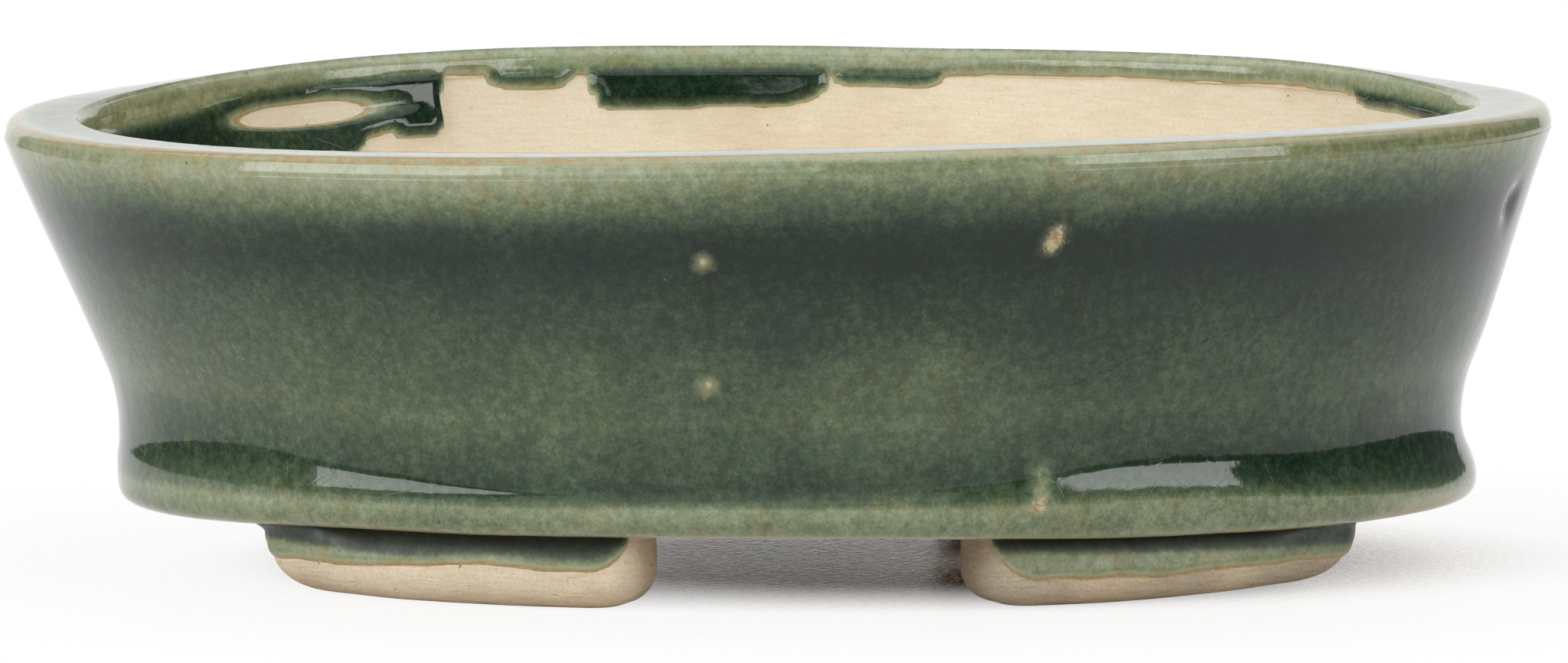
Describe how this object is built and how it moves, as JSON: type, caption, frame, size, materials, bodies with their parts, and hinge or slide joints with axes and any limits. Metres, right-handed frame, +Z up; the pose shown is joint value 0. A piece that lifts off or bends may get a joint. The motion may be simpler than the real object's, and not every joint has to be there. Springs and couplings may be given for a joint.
{
  "type": "oval bonsai pot",
  "caption": "Shallow oval stoneware bonsai pot with a flared wall, flat rim, moulded base band and feet, green glaze outside and over the rim, bare clay inside, with drain and tie-wire holes.",
  "frame": {"origin": "on the table under the middle of the pot, in the plane of the feet's flat undersides", "axes": "+X along the pot's length, -Y its front, +Z up out of its mouth"},
  "size_m": [0.122, 0.1, 0.0365],
  "materials": {
    "bare_clay": "matte",
    "green_glaze": "gloss"
  },
  "bodies": {
    "root": {"floor_slab": "bare_clay", "pot_wall": "bare_clay", "rim_strip": "bare_clay", "base_band": "bare_clay", "foot_front_left": "bare_clay", "foot_front_right": "bare_clay", "foot_back_left": "bare_clay", "foot_back_right": "bare_clay", "body_glaze": "green_glaze", "foot_front_left_glaze": "green_glaze", "foot_front_right_glaze": "green_glaze", "foot_back_left_glaze": "green_glaze", "foot_back_right_glaze": "green_glaze"}
  },
  "joints": []
}
